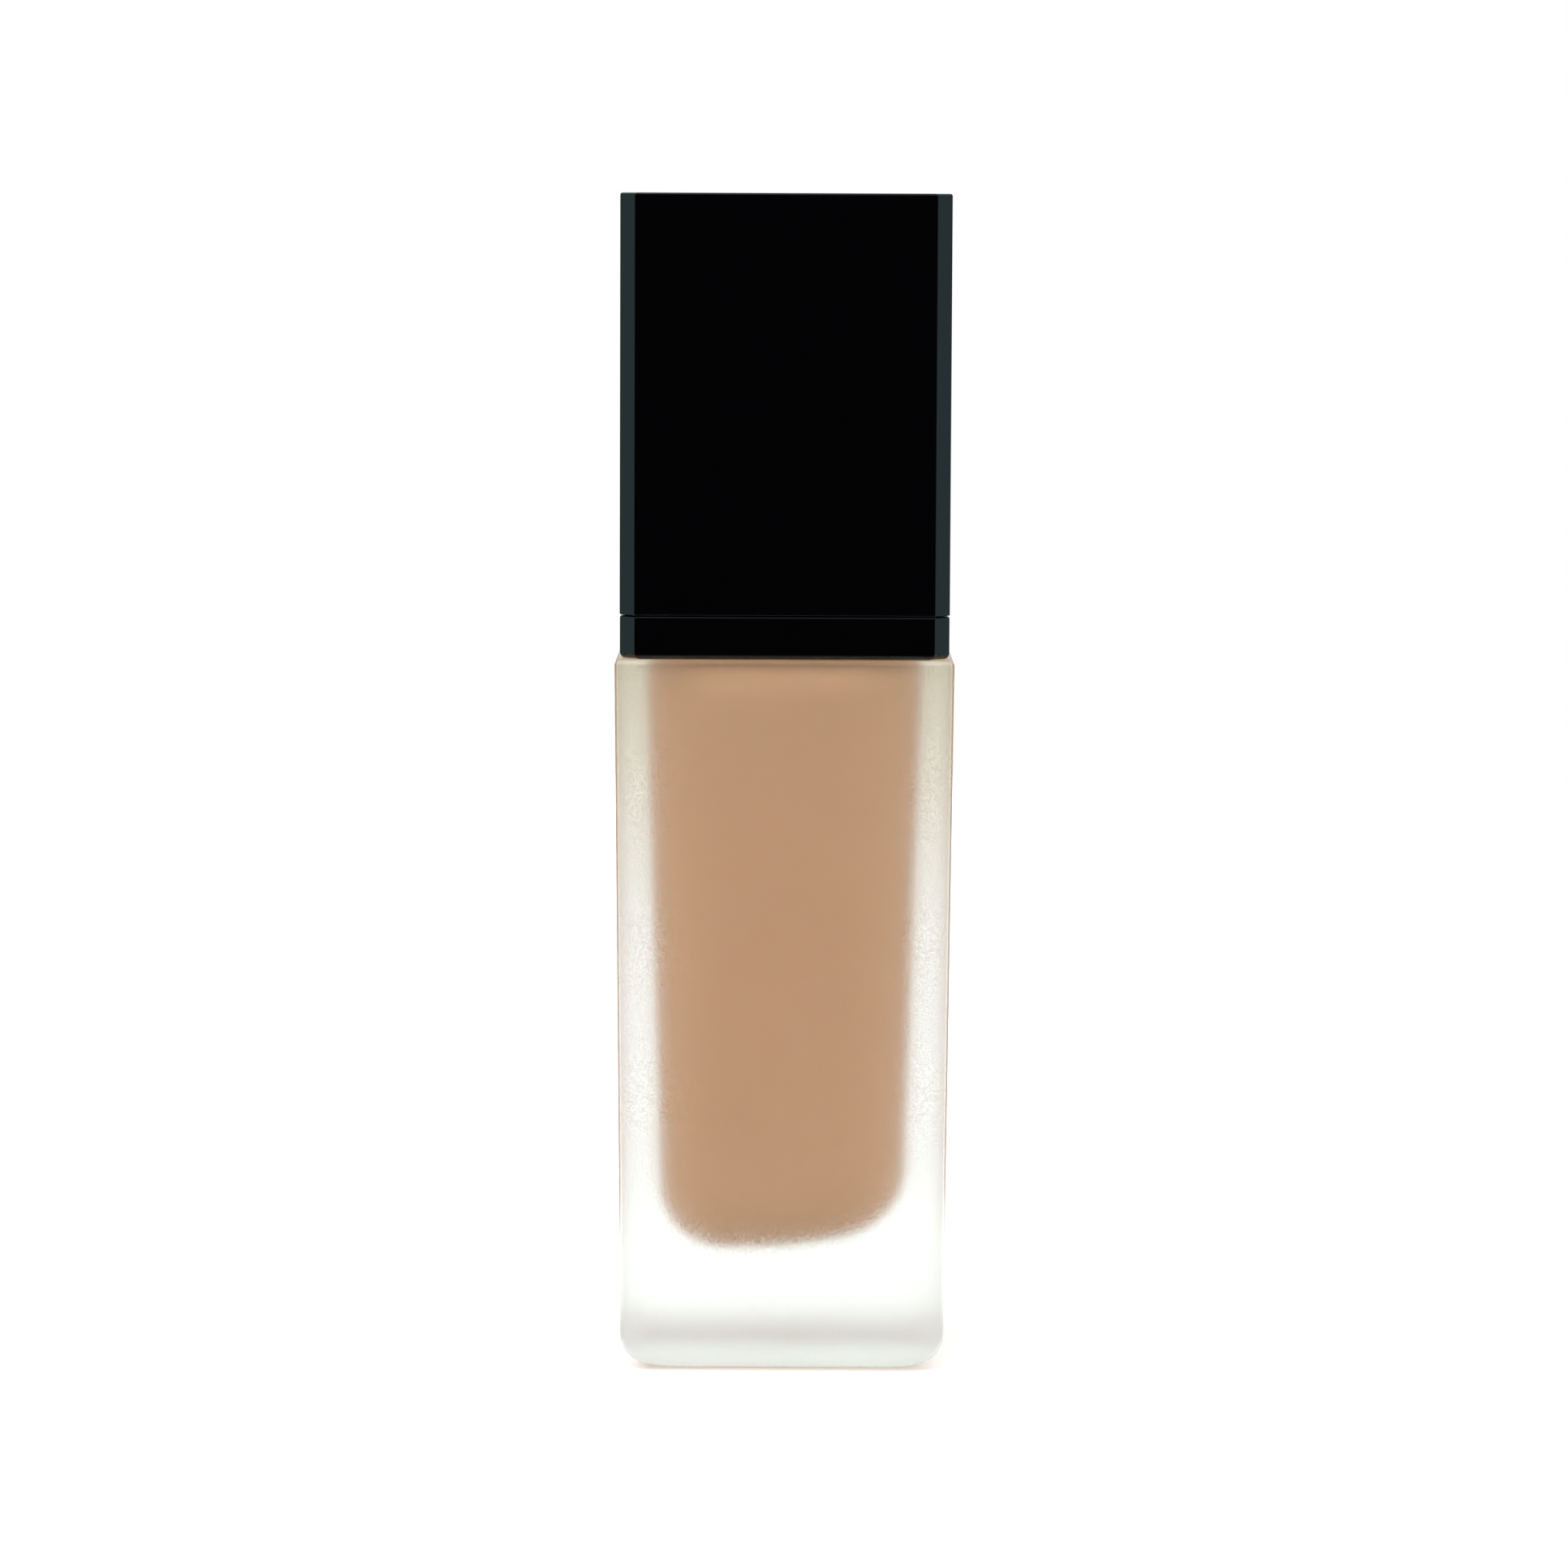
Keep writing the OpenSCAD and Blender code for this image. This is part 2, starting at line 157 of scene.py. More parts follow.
class BottleCap(bpy.types.PropertyGroup):
    """Sizes and colours of the collar, overcap and button."""
    chamfer: length("Chamfer", "Width cut off each upright corner", 1.5)
    crease: length("Crease rounding", "Rounding of the edges beside each chamfer", 0.18)
    rim: length("Rim rounding", "Rounding of the top edges", 0.25)
    skirt: length("Skirt rounding", "Rounding of the edge above the glass", 0.7)
    wall: length("Wall", "Wall of the overcap", 1.5)
    gloss: colour("Gloss black", "Polished black plastic", "010102")
    inner: colour("Inner black", "Moulded black plastic of the liner and core", "1b1b1d")
    natural: colour("Natural plastic", "Unpigmented plastic of the pump", "cfcec8")
    steel: colour("Steel", "Wire of the spring and the valve ball", "c9c8c4")


class BottleStudio(bpy.types.PropertyGroup):
    """Camera and studio."""
    distance: length("Camera distance", "From the camera to the middle of the bottle", 600)
    aim: length("Aim height", "Height of the point that the camera looks at", 57.86)
    pitch: bpy.props.FloatProperty(
        name="Camera pitch", description="How far the camera looks down",
        default=math.radians(5.7), subtype="ANGLE")
    roll: bpy.props.FloatProperty(
        name="Camera roll", description="How far the camera leans to the left",
        default=math.radians(0.25), subtype="ANGLE")
    lens: bpy.props.FloatProperty(
        name="Lens", description="Focal length on a 36 mm sensor", default=134.9)
    floor: colour("Floor", "Pale floor of the studio", "f8f8f7")
    side: colour("Side reflector", "What the gloss mirrors at either side", "9cbbc0")


def settings(name):
    """One of the three setting groups of the scene."""
    return getattr(bpy.context.scene, name)


# ---------------------------------------------------------------------------------------------
# Surfaces
# ---------------------------------------------------------------------------------------------

def trace(corners, closed=False, steps=6):
    """Rows (r, z), normals (nr, nz) and styles of a profile of straight runs joined by arcs.

    A corner is (r, z, radius, style). Its arc touches both runs: it starts radius * tan(turn / 2)
    before the corner, and its normal turns evenly from one run's normal to the next. The normal
    points to the right of the travel, which is out of the solid.
    """
    place = np.array([c[:2] for c in corners], float)
    radius = np.array([c[2] for c in corners], float)
    style = np.array([c[3] for c in corners])
    if closed:
        place, radius, style = (np.concatenate([a[-1:], a, a[:1]]) for a in (place, radius, style))
    run = np.diff(place, axis=0)
    run /= np.linalg.norm(run, axis=1, keepdims=True)
    normal = np.stack([run[:, 1], -run[:, 0]], axis=1)
    into, out, before = run[:-1], run[1:], normal[:-1]
    turn = np.arctan2(into[:, 0] * out[:, 1] - into[:, 1] * out[:, 0], (into * out).sum(1))
    bend = np.sign(turn)
    start = place[1:-1] - into * (radius[1:-1] * np.tan(abs(turn) / 2))[:, None]
    centre = start - before * (bend * radius[1:-1])[:, None]
    angle = turn[:, None] * np.linspace(0, 1, steps + 1)
    c, s = np.cos(angle), np.sin(angle)
    nr, nz = before[:, :1], before[:, 1:]
    around = np.stack([c * nr - s * nz, s * nr + c * nz], 2)
    arcs = centre[:, None] + around * (bend * radius[1:-1])[:, None, None]
    rows, normals = arcs.reshape(-1, 2), around.reshape(-1, 2)
    styles = np.repeat(style[1:-1], steps + 1)
    if not closed:
        rows = np.concatenate([place[:1], rows, place[-1:]])
        normals = np.concatenate([normal[:1], normals, normal[-1:]])
        styles = np.concatenate([style[:1], styles, style[-1:]])
    return rows, normals, styles


def round_section(r):
    """A circle, as eight faces at one distance whose corners are all arc."""
    return r, r, r


def square_section(fillet_at):
    """A rounded square whose corners have the radius that a function gives for its half width."""
    def section(r):
        fillet = fillet_at(r)
        return r, (r - fillet) * math.sqrt(2) + fillet, fillet
    return section


def chamfer_section(chamfer, crease):
    """A square with its corners cut at 45 degrees and each crease rounded."""
    def section(r):
        return r, (2 * r - chamfer) / math.sqrt(2), np.full_like(r, crease)
    return section


def outline(flat, diagonal, fillet, arc_steps, flat_steps):
    """Loops round the axis: eight straight faces at two distances, joined by arcs of one radius.

    The arc between two faces is centred where the lines a fillet inside both faces cross, and each
    point is that centre plus the fillet times the direction of its normal. Points along a face
    divide the straight line from one arc to the next. Returns x, y and the normal's angle.
    """
    faces = np.arange(8) * math.pi / 4
    inner = np.where(np.arange(8) % 2 == 0, flat[:, None], diagonal[:, None]) - fillet[:, None]
    beyond = np.roll(inner, -1, axis=1)
    after = faces + math.pi / 4
    span = math.sin(math.pi / 4)
    cx = (inner * np.sin(after) - beyond * np.sin(faces)) / span
    cy = (beyond * np.cos(faces) - inner * np.cos(after)) / span
    angle = faces[:, None] + np.linspace(0, math.pi / 4, arc_steps + 1)
    x = cx[:, :, None] + fillet[:, None, None] * np.cos(angle)
    y = cy[:, :, None] + fillet[:, None, None] * np.sin(angle)
    share = np.arange(1, flat_steps) / flat_steps
    fx = x[:, :, -1:] + (np.roll(x, -1, axis=1)[:, :, :1] - x[:, :, -1:]) * share
    fy = y[:, :, -1:] + (np.roll(y, -1, axis=1)[:, :, :1] - y[:, :, -1:]) * share
    flats = np.repeat(after[:, None], flat_steps - 1, axis=1)
    turn = np.concatenate([angle, flats], axis=1).reshape(-1)
    count = len(flat)
    x = np.concatenate([x, fx], axis=2).reshape(count, -1)
    y = np.concatenate([y, fy], axis=2).reshape(count, -1)
    return x, y, turn


def lathe(corners, sections, closed=False, steps=6, arc_steps=6, flat_steps=4):
    """Grid of points and normals: each profile row is drawn as its own section about the axis.

    A point is (x, y) of its row's outline at the row's z. With t the outline's normal angle and k
    the growth of x cos t + y sin t for each unit of r, its normal is (nr cos t, nr sin t, k nz).
    Rows of one style share a section function.
    """
    rows, normals, styles = trace(corners, closed, steps)

    def drawn(r):
        flat, diagonal, fillet = (np.zeros(len(rows)) for _ in range(3))
        for name, section in sections.items():
            mine = styles == name
            flat[mine], diagonal[mine], fillet[mine] = section(r[mine])
        return outline(flat, diagonal, fillet, arc_steps, flat_steps)

    step = 0.01
    x, y, turn = drawn(rows[:, 0])
    x_out, y_out, _ = drawn(rows[:, 0] + step)
    c, s = np.cos(turn), np.sin(turn)
    growth = ((x_out - x) * c + (y_out - y) * s) / step
    points = np.stack([x, y, np.broadcast_to(rows[:, 1:], x.shape)], axis=2)
    nr, nz = normals[:, :1], normals[:, 1:]
    directions = np.stack([nr * c, nr * s, nz * growth], axis=2)
    directions /= np.maximum(np.linalg.norm(directions, axis=2, keepdims=True), 1e-9)
    return points, directions


def turned(corners, closed=False):
    """Grid of points and normals of a round piece."""
    return lathe(corners, {"round": round_section}, closed, arc_steps=12, flat_steps=1)


def skin(name, points, directions=None, around=True, along=False):
    """A mesh object from a grid of points in millimetres, with exact normals where they are given.

    Neighbours in the grid share a four-sided face. Points closer than a ten-thousandth of a
    millimetre become one vertex, so a row at the axis becomes a closed pole of triangles.
    """
    rows, columns = points.shape[:2]
    index = np.arange(rows * columns).reshape(rows, columns)
    if along:
        index = np.concatenate([index, index[:1]])
    if around:
        index = np.concatenate([index, index[:, :1]], axis=1)
    quads = np.stack([index[:-1, :-1], index[:-1, 1:], index[1:, 1:], index[1:, :-1]], 2)
    flat = points.reshape(-1, 3)
    _, first, same = np.unique(
        np.round(flat, 4) + 0.0, axis=0, return_index=True, return_inverse=True)
    quads = same.reshape(-1)[quads.reshape(-1, 4)]
    twin = quads == np.roll(quads, 1, axis=1)
    whole = quads[twin.sum(1) == 0]
    thin = twin.sum(1) == 1
    triangles = quads[thin][~twin[thin]].reshape(-1, 3)
    mesh = bpy.data.meshes.new(name)
    mesh.from_pydata((flat[first] * MM).tolist(), [], whole.tolist() + triangles.tolist())
    mesh.polygons.foreach_set("use_smooth", np.ones(len(mesh.polygons), bool))
    mesh.update()
    if directions is not None:
        mesh.normals_split_custom_set_from_vertices(directions.reshape(-1, 3)[first].tolist())
    piece = bpy.data.objects.new(name, mesh)
    bpy.context.scene.collection.objects.link(piece)
    return piece


def forward(points, height):
    """Turns a grid about X to point to the front, and lifts it: (x, -z, y + height)."""
    return np.stack([points[..., 0], -points[..., 2], points[..., 1] + height], axis=-1)


def finish_piece(piece, body, slot, material, *nodes):
    """Gives a new piece its material and its body, and hides the CAD nodes that it stands for. The
    slot is not used.
    """
    piece.data.materials.append(material)
    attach(piece, body)
    if nodes:
        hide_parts(*nodes)
    return piece


# ---------------------------------------------------------------------------------------------
# Materials
# ---------------------------------------------------------------------------------------------

def add(tree, kind, sockets=None, **values):
    """Adds a node: values are its settings, and sockets maps inputs to values or outputs."""
    node = tree.nodes.new(kind)
    for key, value in values.items():
        setattr(node, key, value)
    for key, value in (sockets or {}).items():
        if isinstance(value, bpy.types.NodeSocket):
            tree.links.new(value, node.inputs[key])
        else:
            node.inputs[key].default_value = value
    return node


def blank(name):
    """A new material's node tree, with its output and the Object coordinates in millimetres."""
    material = bpy.data.materials.new(name)
    material.use_nodes = True
    tree = material.node_tree
    tree.nodes.clear()
    place = add(tree, "ShaderNodeTexCoord").outputs["Object"]
    scaled = add(tree, "ShaderNodeVectorMath", {0: place, "Scale": 1 / MM}, operation="SCALE")
    return material, tree, scaled.outputs[0]


def speckle(tree, place, size, detail=2.0):
    """Soft random values with blotches of a size in millimetres."""
    return add(tree, "ShaderNodeTexNoise", {
        "Vector": place, "Scale": 1 / size, "Detail": detail}).outputs["Fac"]


def spread(tree, value, lowest, highest):
    """Stretches a texture's middle range to run between two numbers."""
    return add(tree, "ShaderNodeMapRange", {
        "Value": value, "From Min": 0.3, "From Max": 0.7, "To Min": lowest, "To Max": highest,
    }).outputs["Result"]


def blend_colours(tree, value, first, second):
    """Mixes two linear colours by a texture value."""
    mix = add(tree, "ShaderNodeMix", {0: value, 6: (*first, 1), 7: (*second, 1)}, data_type="RGBA")
    return mix.outputs[2]


def grain(tree, value, height, strength=1.0):
    """A bump whose relief is a height in millimetres."""
    return add(tree, "ShaderNodeBump", {
        "Height": value, "Strength": strength, "Distance": height * MM}).outputs["Normal"]


def surface(tree, sockets):
    """Closes a material with a Principled shader."""
    shader = add(tree, "ShaderNodeBsdfPrincipled", sockets)
    add(tree, "ShaderNodeOutputMaterial", {"Surface": shader.outputs[0]})


def painted_glass_shade(tree, place):
    """A mask of painted shade on the glass: up its upright edges, deeper towards the top under the
    cap, at the shoulder under the collar, and at the foot.

    It is the greatest of three: a smooth step of min(|x|, |y|), which is large only near an
    upright edge, times the square of a smooth step of z; a short step of z up to the shoulder;
    and a gentle step of z down to the foot.
    """
    axes = add(tree, "ShaderNodeSeparateXYZ", {"Vector": place}).outputs

    def step(value, lowest, highest, most=1):
        return add(tree, "ShaderNodeMapRange", {
            "Value": value, "From Min": lowest, "From Max": highest, "To Max": most,
        }, interpolation_type="SMOOTHSTEP").outputs["Result"]

    def combine(operation, first, second=0):
        return add(tree, "ShaderNodeMath", {0: first, 1: second}, operation=operation).outputs[0]

    across = [combine("ABSOLUTE", axes[key]) for key in ("X", "Y")]
    beside = step(combine("MINIMUM", *across), 12.4, 14.4)
    upward = combine("POWER", step(axes["Z"], SHOULDER - 47, SHOULDER + 3), 2)
    ledge = step(axes["Z"], SHOULDER - 0.55, SHOULDER - 0.3, 0.8)
    foot = step(axes["Z"], 3.2, 0, 0.5)
    most_shade = combine("MAXIMUM", combine("MULTIPLY", beside, upward), ledge)
    return combine("MAXIMUM", most_shade, foot)


def etched_flint_glass():
    """Flint glass, pressed thick and acid etched outside: milky light, soft edges behind it."""
    material, tree, place = blank("Etched flint glass")
    glass = settings("bottle_glass")
    # Etching leaves pits of hundredths of a millimetre, drawn at 0.4 mm so that they can show
    pits = speckle(tree, place, 0.4, 3)
    # Between deep and shallow etching the spread of light varies on a scale too small to see
    etching = speckle(tree, place, 0.15, 1)
    clear = blend_colours(tree, speckle(tree, place, 9), glass.glass, linear("f8fcf8"))
    # Painted shade: the clear tint is mixed toward the glass edge colour where the shade mask is
    # high
    walls_and_shade = add(tree, "ShaderNodeMix", {
        0: painted_glass_shade(tree, place), 6: clear, 7: (*glass.edge, 1)}, data_type="RGBA")
    surface(tree, {
        "Base Color": walls_and_shade.outputs[2],
        "Roughness": spread(tree, etching, 0.32, 0.68),
        "IOR": 1.51,
        "Transmission Weight": 1.0,
        "Normal": grain(tree, pits, 0.004),
    })
    return material


def pigment_emulsion():
    """Iron oxides and titania in a silicone emulsion: opaque, creamy, faintly drifting in tone,
    with painted light that makes it paler close under the shoulder.
    """
    material, tree, place = blank("Pigment emulsion")
    glass = settings("bottle_glass")
    drift = speckle(tree, place, 14, 3)
    axes = add(tree, "ShaderNodeSeparateXYZ", {"Vector": place}).outputs
    # Painted light: over the top 4 mm under the shoulder the colour is mixed toward the paler band,
    # against the shade that the collar casts there
    painted_light_mask = add(tree, "ShaderNodeMapRange", {
        "Value": axes["Z"], "From Min": SHOULDER - 4.6, "From Max": SHOULDER - 0.6,
    }, interpolation_type="SMOOTHSTEP").outputs["Result"]
    pigment = blend_colours(tree, drift, glass.liquid, glass.liquid_shade)
    toned = add(tree, "ShaderNodeMix", {
        0: painted_light_mask, 6: pigment, 7: (*glass.painted_light_band, 1)}, data_type="RGBA")
    surface(tree, {
        "Base Color": toned.outputs[2],
        "Roughness": spread(tree, drift, 0.42, 0.5),
        "Specular IOR Level": 0.2,
        "Subsurface Weight": 0.1,
        "Subsurface Radius": (0.002, 0.001, 0.0006),
        "Subsurface Scale": 0.4,
    })
    return material


def polished_abs():
    """Black ABS from a polished mould: deep mirror gloss with a trace of orange peel."""
    material, tree, place = blank("Polished black ABS")
    peel = speckle(tree, place, 3.5)
    dust = speckle(tree, place, 0.8, 3)
    black = settings("bottle_cap").gloss
    surface(tree, {
        "Base Color": blend_colours(tree, dust, black, linear("020203")),
        "Roughness": spread(tree, peel, 0.07, 0.1),
        "IOR": 1.53,
        "Normal": grain(tree, peel, 0.0006),
    })
    return material


def moulded_polypropylene(name, colour_a, colour_b, rough):
    """Polypropylene from a spark-eroded mould: waxy, with a fine even grain."""
    material, tree, place = blank(name)
    # Spark erosion grain is about 0.05 mm across, drawn at 0.3 mm so that it can show
    erosion = speckle(tree, place, 0.3, 2)
    surface(tree, {
        "Base Color": blend_colours(tree, speckle(tree, place, 4), colour_a, colour_b),
        "Roughness": spread(tree, erosion, rough - 0.05, rough + 0.05),
        "IOR": 1.49,
        "Subsurface Weight": 0.08,
        "Subsurface Radius": (0.001, 0.001, 0.001),
        "Subsurface Scale": 0.3,
        "Normal": grain(tree, erosion, 0.006),
    })
    return material


def drawn_steel():
    """Stainless wire, drawn and ball-burnished: bright, with fine draw lines round the axis."""
    material, tree, place = blank("Drawn stainless wire")
    lines = add(tree, "ShaderNodeMapping", {"Vector": place, "Scale": (1, 1, 12)}).outputs[0]
    drawn = speckle(tree, lines, 1.5, 3)
    surface(tree, {
        "Base Color": blend_colours(tree, drawn, settings("bottle_cap").steel, linear("bdbcb8")),
        "Metallic": 1.0,
        "Roughness": spread(tree, drawn, 0.16, 0.28),
        "Normal": grain(tree, drawn, 0.002),
    })
    return material


def extruded_polyethylene():
    """Clear polyethylene tube: cloudy, soft, with long extrusion streaks."""
    material, tree, place = blank("Extruded polyethylene")
    along = add(tree, "ShaderNodeMapping", {"Vector": place, "Scale": (1, 1, 0.05)}).outputs[0]
    streak = speckle(tree, along, 0.5, 2)
    surface(tree, {
        "Base Color": blend_colours(tree, streak, linear("eeeeea"), linear("e2e3df")),
        "Roughness": spread(tree, streak, 0.25, 0.35),
        "IOR": 1.51,
        "Transmission Weight": 0.5,
    })
    return material


def moulded_elastomer():
    """Thermoplastic elastomer washer: matt and slightly dusty."""
    material, tree, place = blank("Moulded elastomer")
    bloom = speckle(tree, place, 0.6, 3)
    surface(tree, {
        "Base Color": blend_colours(tree, bloom, linear("c9c7c1"), linear("bfbdb7")),
        "Roughness": spread(tree, bloom, 0.62, 0.74),
        "Specular IOR Level": 0.35,
        "Normal": grain(tree, bloom, 0.01),
    })
    return material


def studio_paper():
    """Matt white background paper, with the faintest tooth."""
    material, tree, place = blank("Studio paper")
    tooth = speckle(tree, place, 1.2, 2)
    white = settings("bottle_studio").floor
    surface(tree, {
        "Base Color": blend_colours(tree, tooth, white, linear("f6f6f5")),
        "Roughness": spread(tree, tooth, 0.88, 0.94),
        "Specular IOR Level": 0.1,
        "Emission Color": (1, 1, 1, 1),
        "Emission Strength": 0.2,
    })
    return material


# ---------------------------------------------------------------------------------------------
# Profiles of the pieces
# ---------------------------------------------------------------------------------------------

def settle_floor(points, cavity_rows):
    """Lifts the cavity's floor towards its right wall, as glass settles unevenly in the mould.

    The lift is settle * s / half, where s is a smooth ramp of x, times a square fall-off with
    height above the floor.
    """
    glass = settings("bottle_glass")
    soft, reach = 2.0, 30
    x, z = points[..., 0], points[..., 2]
    ramp = (x + np.sqrt(x * x + soft * soft)) / 2
    fade = np.clip(1 - (z - CAVITY_FLOOR) / reach, 0, 1) ** 2
    lift = glass.settle / MM * ramp / (glass.cavity_foot / MM / 2) * fade
    points[..., 2] += np.where(cavity_rows, lift, 0)
    return points


def cavity_corners(grow):
    """Profile corners of the cavity from its top edge to its floor, grown by a distance."""
    glass = settings("bottle_glass")
    top_round, floor_round = 1, glass.cavity_round / MM
    return [
        (glass.cavity_top / MM / 2 + grow, CAVITY_TOP + grow, top_round, "cavity"),
        (glass.cavity_foot / MM / 2 + grow, CAVITY_FLOOR - grow, floor_round, "cavity"),
        (0, CAVITY_FLOOR - grow, 0, "round"),
    ]


def glass_sections():
    """The sections that the glass and the liquid are drawn with.

    The rounding of the upright corners grows by 0.7 of the heel's inset. The cavity's corners
    keep their centres, and near the axis they shrink to a sixth of the half width.
    """
    glass = settings("bottle_glass")
    foot, corner = glass.foot_width / MM / 2, glass.corner / MM
    cavity = glass.cavity_corner / MM
    return {
        "round": round_section,
        "heel": square_section(lambda r: corner + 0.7 * (foot - r)),
        "glass": square_section(lambda r: np.full_like(r, corner)),
        "cavity": square_section(lambda r: np.maximum(r - cavity, r / 6)),
        "plateau": chamfer_section(0.75, 0.2),
    }


def cap_sections():
    """The sections of the collar and overcap, outside and inside."""
    cap = settings("bottle_cap")
    crease = cap.crease / MM
    # An inner chamfer of this share leaves the wall as thick there as along the flats
    inner_share = 0.42
    return {
        "round": round_section,
        "outer": chamfer_section(cap.chamfer / MM, crease),
        "inner": chamfer_section(cap.chamfer / MM * inner_share, crease),
    }


def build_bottle():
    """The glass: a foot with a shallow dome, tapered sides, shoulder, neck with a bead, cavity."""
    glass = settings("bottle_glass")
    dome, dome_depth = 9.5, 0.5
    plateau = COLLAR_HALF - COLLAR_WALL - SLIDE
    neck, bead, bore = 8.9, 9.7, 6.6
    bead_low = LIP - 4
    corners = [
        (0, dome_depth, 0, "round"),
        (5.5, 0.45, 8, "round"),
        (dome, 0, 4, "round"),
        (glass.foot_width / MM / 2, 0, glass.foot_round / MM, "heel"),
        (high("bottle", 0), SHOULDER, glass.shoulder_round / MM, "glass"),
        (plateau, SHOULDER, 0.15, "plateau"),
        (plateau, PLATEAU, 0.3, "plateau"),
        (neck, PLATEAU, 0.6, "round"),
        (neck, bead_low, 0.2, "round"),
        (bead, bead_low, 0.25, "round"),
        (bead, bead_low + 0.7, 0.25, "round"),
        (neck, bead_low + 1.7, 0.4, "round"),
        (neck, LIP, 0.4, "round"),
        (bore, LIP, 0.5, "round"),
        (bore, CAVITY_TOP, 0.7, "round"),
    ] + cavity_corners(0)
    points, directions = lathe(
        corners, glass_sections(), steps=GLASS_STEPS, arc_steps=8, flat_steps=8)
    inside = np.zeros(points.shape[:2], bool)
    inside[-CAVITY_ROWS:] = True
    points = settle_floor(points, inside)
    piece = skin("glass_bottle", points, directions)
    return finish_piece(piece, "bottle_and_pump", "frosted_glass", etched_flint_glass(), "bottle")


def build_liquid():
    """The liquid: it wets the cavity, and it is hollow round the pump's barrel and dip tube."""
    grow = settings("bottle_glass").wetting / MM
    barrel, chamber = 5.36, 3.26
    tube = high("dip_tube", 0) + 0.06
    side = cavity_corners(grow)
    corners = side[::-1] + [
        (barrel, CAVITY_TOP + grow, 0.1, "round"),
        (barrel, BARREL_FOOT, 0.02, "round"),
        (chamber, BARREL_FOOT, 0.02, "round"),
        (chamber, SOCKET_FOOT, 0.02, "round"),
        (tube, SOCKET_FOOT, 0.02, "round"),
        (tube, TUBE_END, 0.02, "round"),
        (0, TUBE_END, 0, "round"),
    ]
    points, directions = lathe(
        corners, glass_sections(), steps=GLASS_STEPS, arc_steps=8, flat_steps=8)
    wall = np.zeros(points.shape[:2], bool)
    wall[:CAVITY_ROWS] = True
    points = settle_floor(points, wall)
    piece = skin("liquid_foundation", points, directions)
    return finish_piece(
        piece, "bottle_and_pump", "foundation", pigment_emulsion(), "foundation_fill")


def build_collar():
    """The collar: a square flange, hollow below, and a round sleeve with a lip round the well."""
    cap = settings("bottle_cap")
    wall, lip = COLLAR_WALL, 0.8
    bore = CLOSURE_HALF + FIT
    sleeve = bore + 0.95
    well = high("actuator_cover", 0) + 0.3
    corners = [
        (bore, PLATEAU + FIT, 0.1, "round"),
        (sleeve, PLATEAU + FIT, 0.1, "round"),
        (sleeve, COLLAR_TOP - wall, 0.2, "round"),
        (COLLAR_HALF - wall, COLLAR_TOP - wall, 0.2, "inner"),
        (COLLAR_HALF - wall, SHOULDER, 0.1, "inner"),
        (COLLAR_HALF, SHOULDER, cap.skirt / MM, "outer"),
        (COLLAR_HALF, COLLAR_TOP, cap.rim / MM * 0.8, "outer"),
        (sleeve, COLLAR_TOP, 0.15, "round"),
        (sleeve, SLEEVE_TOP, 0.35, "round"),
        (well, SLEEVE_TOP, 0.25, "round"),
        (well, SLEEVE_TOP - lip, 0.15, "round"),
        (bore, SLEEVE_TOP - lip, 0.15, "round"),
    ]
    points, directions = lathe(corners, cap_sections(), closed=True)
    piece = skin("square_collar", points, directions, along=True)
    return finish_piece(piece, "bottle_and_pump", "black_gloss", polished_abs(), "collar")


def build_overcap():
    """The overcap's shell: one skin from the inner ceiling, over the open rim, to the flat top."""
    cap = settings("bottle_cap")
    rim = cap.rim / MM
    half = high("overcap_shell", 0)
    inside = half - cap.wall / MM
    corners = [
        (0, LINER_TOP, 0, "round"),
        (inside, LINER_TOP, 0.3, "inner"),
        (inside, CAP_FOOT, 0.15, "inner"),
        (half, CAP_FOOT, 0.12, "outer"),
        (half, CAP_TOP, rim, "outer"),
        (0, CAP_TOP, 0, "round"),
    ]
    points, directions = lathe(corners, cap_sections())
    piece = skin("square_overcap", points, directions)
    return finish_piece(piece, "overcap", "black_gloss", polished_abs(), "overcap_shell")


def build_liner():
    """The liner: a square cup that grips the collar's sleeve, with a flange round its mouth."""
    cap = settings("bottle_cap")
    half = high("cap_liner", 0)
    bore = CLOSURE_HALF + 1.1
    tube = bore + 0.9
    plate, flange = 1.2, 1.2
    # The liner ends a hair below the shell's ceiling, so that the two faces are not one
    head = LINER_TOP - 0.02
    corners = [
        (0, LINER_TOP - plate, 0, "round"),
        (bore, LINER_TOP - plate, 0.6, "inner"),
        (bore, LINER_FOOT, 0.3, "inner"),
        (half, LINER_FOOT, 0.2, "inner"),
        (half, LINER_FOOT + flange, 0.2, "inner"),
        (tube, LINER_FOOT + flange, 0.3, "outer"),
        (tube, head, 0.4, "outer"),
        (0, head, 0, "round"),
    ]
    points, directions = lathe(corners, cap_sections())
    piece = skin("overcap_liner", points, directions)
    plastic = moulded_polypropylene("Black polypropylene", cap.inner, linear("202022"), 0.42)
    return finish_piece(piece, "overcap", "black_plastic", plastic, "cap_liner")


def build_button_cover():
    """The button's cover: a round cup with a dished top."""
    r = high("actuator_cover", 0)
    inside = r - 0.9
    corners = [
        (0, CORE_TOP, 0, "round"),
        (inside, CORE_TOP, 0.3, "round"),
        (inside, BUTTON_FOOT, 0.2, "round"),
        (r, BUTTON_FOOT, 0.3, "round"),
        (r, BUTTON_TOP, 0.7, "round"),
        (r - 1.9, BUTTON_TOP, 1.6, "round"),
        (3.5, BUTTON_TOP - 0.5, 12, "round"),
        (0, BUTTON_TOP - 0.6, 0, "round"),
    ]
    points, directions = turned(corners)
    piece = skin("button_cover", points, directions)
    return finish_piece(piece, "button", "black_gloss", polished_abs(), "actuator_cover")


